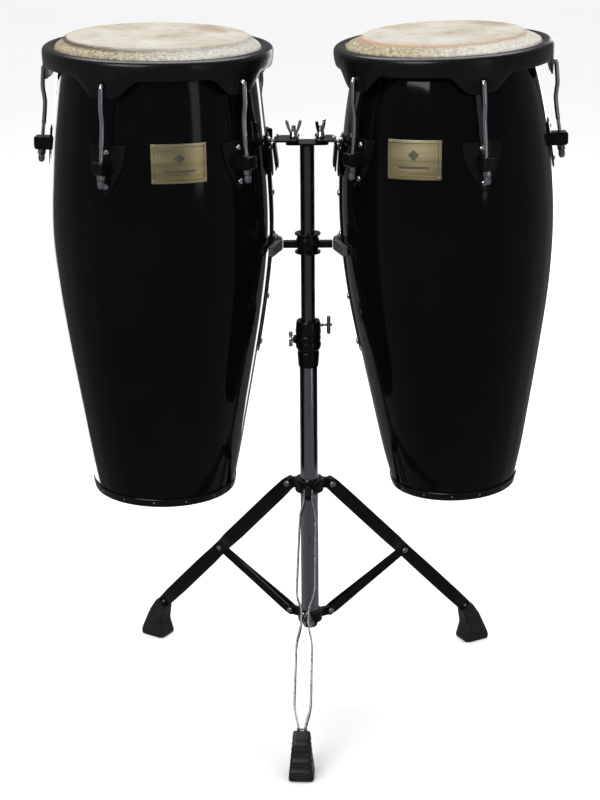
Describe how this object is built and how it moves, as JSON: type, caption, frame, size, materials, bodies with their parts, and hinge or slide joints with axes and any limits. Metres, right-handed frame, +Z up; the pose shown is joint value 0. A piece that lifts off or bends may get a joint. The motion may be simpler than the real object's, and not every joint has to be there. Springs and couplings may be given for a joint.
{
  "type": "conga drum pair on stand",
  "caption": "Pair of black wooden conga drums with hide heads and metal tuning hardware, hung on a double stand with a height-adjustable pole and folding tripod.",
  "frame": {"origin": "on the floor, under the middle of the bounding box", "axes": "+Z up, -Y towards the front foot and the badges, +X to the right with the smaller drum"},
  "size_m": [0.8086, 0.5433, 1.0698],
  "materials": {
    "black_lacquer": "thick gloss black lacquer over wood staves",
    "rawhide": "dry mottled natural hide",
    "black_coat": "satin black powder coat on steel",
    "chrome": "bright chrome",
    "dark_chrome": "dark chrome",
    "badge_metal": "brushed pale brass, no lettering",
    "rubber": "matte black rubber"
  },
  "bodies": {
    "base": {"lower_tube": "chrome", "lower_collar": "black_coat", "height_clamp": "black_coat"},
    "clamp_screw": {"clamp_wing_screw": "chrome"},
    "hub": {"leg_hub": "black_coat"},
    "hub_screw": {"hub_bolt": "chrome"},
    "lock": {"memory_lock": "black_coat"},
    "lock_screw": {"t_screw": "chrome"},
    "mast": {"upper_tube": "dark_chrome", "top_plate": "black_coat", "cradle": "black_coat", "left_cradle_pad": "rubber", "right_cradle_pad": "rubber"},
    "left_nut": {"left_arm_nut": "chrome"},
    "right_nut": {"right_arm_nut": "chrome"},
    "left_drum": {"left_arm": "black_coat", "left_shell": "black_lacquer", "left_head": "rawhide", "left_rim": "black_coat", "left_base_band": "black_coat", "left_badge": "badge_metal", "left_mount_plate": "black_coat", "left_hook_bracket": "black_coat", "left_tuning_rod_1": "chrome", "left_tuning_rod_2": "chrome", "left_tuning_rod_3": "chrome", "left_tuning_rod_4": "chrome", "left_tuning_rod_5": "chrome", "left_lug_1": "black_coat", "left_lug_2": "black_coat", "left_lug_3": "black_coat", "left_lug_4": "black_coat", "left_lug_5": "black_coat"},
    "right_drum": {"right_arm": "black_coat", "right_shell": "black_lacquer", "right_head": "rawhide", "right_rim": "black_coat", "right_base_band": "black_coat", "right_badge": "badge_metal", "right_mount_plate": "black_coat", "right_hook_bracket": "black_coat", "right_tuning_rod_1": "chrome", "right_tuning_rod_2": "chrome", "right_tuning_rod_3": "chrome", "right_tuning_rod_4": "chrome", "right_tuning_rod_5": "chrome", "right_lug_1": "black_coat", "right_lug_2": "black_coat", "right_lug_3": "black_coat", "right_lug_4": "black_coat", "right_lug_5": "black_coat"},
    "front_leg": {"front_leg": "black_coat", "front_foot": "rubber"},
    "front_brace": {"front_brace": "black_coat"},
    "right_leg": {"right_leg": "black_coat", "right_foot": "rubber"},
    "right_brace": {"right_brace": "black_coat"},
    "left_leg": {"left_leg": "black_coat", "left_foot": "rubber"},
    "left_brace": {"left_brace": "black_coat"}
  },
  "joints": [
    {"name": "tripod_fold", "type": "slide", "parent": "base", "child": "hub", "axis": [0, 0, 1], "range_m": [0, 0.1356]},
    {"name": "mast_height", "type": "slide", "parent": "base", "child": "lock", "axis": [0, 0, 1], "range_m": [0, 0.13]},
    {"name": "mast_turn", "type": "hinge", "parent": "lock", "child": "mast", "pos_m": [0.0134, 0.0708, 0.6075], "axis": [0, 0, 1], "continuous": true},
    {"name": "hub_bolt_turn", "type": "hinge", "parent": "hub", "child": "hub_screw", "pos_m": [0.01481, 0.10077, 0.34625], "axis": [0.0471, 0.9989, 0], "continuous": true},
    {"name": "clamp_screw_turn", "type": "hinge", "parent": "base", "child": "clamp_screw", "pos_m": [-0.0066, 0.0708, 0.59], "axis": [-1, 0, 0], "continuous": true},
    {"name": "t_screw_turn", "type": "hinge", "parent": "lock", "child": "lock_screw", "pos_m": [0.0334, 0.0708, 0.6131], "axis": [1, 0, 0], "continuous": true},
    {"name": "left_nut_turn", "type": "hinge", "parent": "mast", "child": "left_nut", "pos_m": [-0.007, 0.0708, 0.9125], "axis": [0, 0, 1], "continuous": true},
    {"name": "left_drum_pull", "type": "slide", "parent": "mast", "child": "left_drum", "axis": [-1, 0, 0], "range_m": [0, 0.08]},
    {"name": "right_nut_turn", "type": "hinge", "parent": "mast", "child": "right_nut", "pos_m": [0.0338, 0.0708, 0.9125], "axis": [0, 0, 1], "continuous": true},
    {"name": "right_drum_pull", "type": "slide", "parent": "mast", "child": "right_drum", "axis": [1, 0, 0], "range_m": [0, 0.08]},
    {"name": "front_leg_swing", "type": "hinge", "parent": "hub", "child": "front_leg", "pos_m": [0.01155, 0.03164, 0.3402], "axis": [0.9989, -0.0471, 0], "range_deg": [0, 40.39]},
    {"name": "front_brace_swing", "type": "hinge", "parent": "base", "child": "front_brace", "pos_m": [0.01168, 0.03434, 0.1152], "axis": [-0.9989, 0.0471, 0], "range_deg": [0, 55.86]},
    {"name": "right_leg_swing", "type": "hinge", "parent": "hub", "child": "right_leg", "pos_m": [0.04823, 0.08878, 0.3402], "axis": [-0.4587, 0.8886, 0], "range_deg": [0, 40.39]},
    {"name": "right_brace_swing", "type": "hinge", "parent": "base", "child": "right_brace", "pos_m": [0.04584, 0.08754, 0.1152], "axis": [0.4587, -0.8886, 0], "range_deg": [0, 55.86]},
    {"name": "left_leg_swing", "type": "hinge", "parent": "hub", "child": "left_leg", "pos_m": [-0.01959, 0.09198, 0.3402], "axis": [-0.5402, -0.8415, 0], "range_deg": [0, 40.39]},
    {"name": "left_brace_swing", "type": "hinge", "parent": "base", "child": "left_brace", "pos_m": [-0.01732, 0.09052, 0.1152], "axis": [0.5402, 0.8415, 0], "range_deg": [0, 55.86]}
  ],
  "couplings": [
    {"joint": "front_leg_swing", "follows": "tripod_fold", "rad_per_m": 5.1924},
    {"joint": "front_brace_swing", "follows": "tripod_fold", "rad_per_m": 7.1836},
    {"joint": "right_leg_swing", "follows": "tripod_fold", "rad_per_m": 5.1924},
    {"joint": "right_brace_swing", "follows": "tripod_fold", "rad_per_m": 7.1836},
    {"joint": "left_leg_swing", "follows": "tripod_fold", "rad_per_m": 5.1924},
    {"joint": "left_brace_swing", "follows": "tripod_fold", "rad_per_m": 7.1836}
  ]
}
